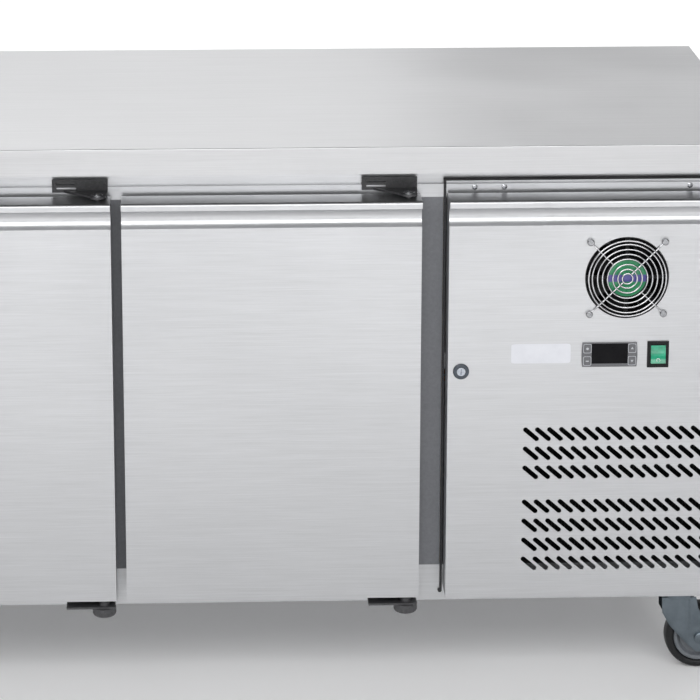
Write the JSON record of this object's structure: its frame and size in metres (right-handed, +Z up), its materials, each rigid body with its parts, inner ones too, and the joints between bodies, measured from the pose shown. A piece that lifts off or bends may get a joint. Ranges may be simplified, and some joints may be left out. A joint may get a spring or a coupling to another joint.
{
  "type": "undercounter refrigerator",
  "caption": "Stainless undercounter refrigerator with hinged doors, a vented service panel with fan, controller and rocker switch, a flat worktop and swivel casters.",
  "frame": {"origin": "on the floor under the middle of the worktop", "axes": "+X to the right when facing the doors, the doors face -Y, +Z up"},
  "size_m": [1.36, 0.7, 0.83],
  "materials": {
    "stainless": "brushed, fine horizontal grain",
    "liner_steel": "fine satin",
    "galvanised": "dull spangled zinc",
    "zinc": "bright zinc plate",
    "chrome": "bright plate",
    "aluminium": "mill finish",
    "copper": "drawn copper tube",
    "black_paint": "semi-gloss black",
    "coated_wire": "light grey coated wire",
    "foam": "rigid polyurethane foam",
    "grey_plastic": "moulded grey",
    "black_plastic": "moulded black",
    "dark_lens": "smoked clear window",
    "green_lens": "translucent green",
    "black_rubber": "soft black",
    "grey_rubber": "soft grey",
    "black_tyre": "black moulded tread"
  },
  "bodies": {
    "cabinet": {"side_panel_left": "stainless", "side_panel_right": "stainless", "rear_panel": "stainless", "base_panel": "galvanised", "insulation": "foam", "inner_liner": "liner_steel", "bulkhead_sheet": "galvanised", "worktop": "stainless", "front_top_rail": "stainless", "front_bottom_rail": "stainless", "breaker_frame": "grey_plastic", "panel_seal": "black_rubber", "shelf_supports": "liner_steel", "wire_shelf_left": "coated_wire", "wire_shelf_right": "coated_wire", "evaporator_coil": "aluminium", "evaporator_cover": "liner_steel", "evaporator_fan_frame": "black_plastic", "drip_tray": "liner_steel", "unit_base": "galvanised", "compressor": "black_paint", "condenser_coil": "aluminium", "condenser_fan_mount": "black_paint", "refrigerant_pipes": "copper", "upper_hinges": "black_paint", "lower_hinges": "black_paint", "caster_plates": "zinc"},
    "evaporator_fan": {"evaporator_fan_rotor": "black_plastic"},
    "condenser_fan": {"condenser_fan_blades": "aluminium"},
    "door_left": {"door_left_skin": "stainless", "door_left_foam": "foam", "door_left_liner": "liner_steel", "door_left_gasket": "grey_rubber"},
    "door_right": {"door_right_skin": "stainless", "door_right_foam": "foam", "door_right_liner": "liner_steel", "door_right_gasket": "grey_rubber"},
    "service_panel": {"panel_skin": "stainless", "fan_guard": "chrome", "fan_frame": "black_plastic", "guard_screws": "chrome", "controller_body": "grey_plastic", "controller_window": "dark_lens", "switch_bezel": "black_plastic", "lock_cylinder": "chrome"},
    "lock_plug": {"lock_barrel": "chrome"},
    "panel_fan": {"fan_rotor": "black_plastic"},
    "rocker": {"switch_rocker": "green_lens"},
    "key_left_upper": {"controller_key_left_upper": "grey_plastic"},
    "key_left_lower": {"controller_key_left_lower": "grey_plastic"},
    "key_right_upper": {"controller_key_right_upper": "grey_plastic"},
    "key_right_lower": {"controller_key_right_lower": "grey_plastic"},
    "caster_front_left": {"caster_fork_front_left": "zinc"},
    "wheel_front_left": {"caster_wheel_front_left": "black_tyre"},
    "caster_front_right": {"caster_fork_front_right": "zinc"},
    "wheel_front_right": {"caster_wheel_front_right": "black_tyre"},
    "caster_rear_left": {"caster_fork_rear_left": "zinc"},
    "wheel_rear_left": {"caster_wheel_rear_left": "black_tyre"},
    "caster_rear_right": {"caster_fork_rear_right": "zinc"},
    "wheel_rear_right": {"caster_wheel_rear_right": "black_tyre"}
  },
  "joints": [
    {"name": "access_panel_open", "type": "hinge", "parent": "cabinet", "child": "service_panel", "pos_m": [0.655, -0.325, 0.45], "axis": [0, 0, 1], "range_deg": [0, 100]},
    {"name": "condenser_fan_spin", "type": "hinge", "parent": "cabinet", "child": "condenser_fan", "pos_m": [0.49, -0.179, 0.308], "axis": [0, 1, 0], "continuous": true},
    {"name": "door_left_open", "type": "hinge", "parent": "cabinet", "child": "door_left", "pos_m": [-0.2505, -0.325, 0.45], "axis": [0, 0, 1], "range_deg": [0, 90]},
    {"name": "door_right_open", "type": "hinge", "parent": "cabinet", "child": "door_right", "pos_m": [0.1845, -0.325, 0.45], "axis": [0, 0, 1], "range_deg": [0, 90]},
    {"name": "evaporator_fan_spin", "type": "hinge", "parent": "cabinet", "child": "evaporator_fan", "pos_m": [-0.225, -0.083, 0.64], "axis": [0, 1, 0], "continuous": true},
    {"name": "lock_turn", "type": "hinge", "parent": "service_panel", "child": "lock_plug", "pos_m": [0.2596, -0.32, 0.501], "axis": [0, -1, 0], "range_deg": [0, 90]},
    {"name": "panel_fan_spin", "type": "hinge", "parent": "service_panel", "child": "panel_fan", "pos_m": [0.4923, -0.317, 0.636], "axis": [0, 1, 0], "continuous": true},
    {"name": "rocker_tilt", "type": "hinge", "parent": "service_panel", "child": "rocker", "pos_m": [0.539, -0.339, 0.5235], "axis": [1, 0, 0], "range_deg": [0, 14]},
    {"name": "key_left_upper_press", "type": "slide", "parent": "service_panel", "child": "key_left_upper", "axis": [0, 1, 0], "range_m": [0, 0.0006], "stiffness_N_per_m": 400},
    {"name": "key_left_lower_press", "type": "slide", "parent": "service_panel", "child": "key_left_lower", "axis": [0, 1, 0], "range_m": [0, 0.0006], "stiffness_N_per_m": 400},
    {"name": "key_right_upper_press", "type": "slide", "parent": "service_panel", "child": "key_right_upper", "axis": [0, 1, 0], "range_m": [0, 0.0006], "stiffness_N_per_m": 400},
    {"name": "key_right_lower_press", "type": "slide", "parent": "service_panel", "child": "key_right_lower", "axis": [0, 1, 0], "range_m": [0, 0.0006], "stiffness_N_per_m": 400},
    {"name": "swivel_front_left", "type": "hinge", "parent": "cabinet", "child": "caster_front_left", "pos_m": [-0.598, -0.214, 0.118], "axis": [0, 0, 1], "continuous": true},
    {"name": "wheel_front_left_roll", "type": "hinge", "parent": "caster_front_left", "child": "wheel_front_left", "pos_m": [-0.566, -0.214, 0.05], "axis": [0, 1, 0], "continuous": true},
    {"name": "swivel_front_right", "type": "hinge", "parent": "cabinet", "child": "caster_front_right", "pos_m": [0.598, -0.214, 0.118], "axis": [0, 0, 1], "continuous": true},
    {"name": "wheel_front_right_roll", "type": "hinge", "parent": "caster_front_right", "child": "wheel_front_right", "pos_m": [0.63, -0.214, 0.05], "axis": [0, 1, 0], "continuous": true},
    {"name": "swivel_rear_left", "type": "hinge", "parent": "cabinet", "child": "caster_rear_left", "pos_m": [-0.598, 0.25, 0.118], "axis": [0, 0, 1], "continuous": true},
    {"name": "wheel_rear_left_roll", "type": "hinge", "parent": "caster_rear_left", "child": "wheel_rear_left", "pos_m": [-0.566, 0.25, 0.05], "axis": [0, 1, 0], "continuous": true},
    {"name": "swivel_rear_right", "type": "hinge", "parent": "cabinet", "child": "caster_rear_right", "pos_m": [0.598, 0.25, 0.118], "axis": [0, 0, 1], "continuous": true},
    {"name": "wheel_rear_right_roll", "type": "hinge", "parent": "caster_rear_right", "child": "wheel_rear_right", "pos_m": [0.63, 0.25, 0.05], "axis": [0, 1, 0], "continuous": true}
  ]
}
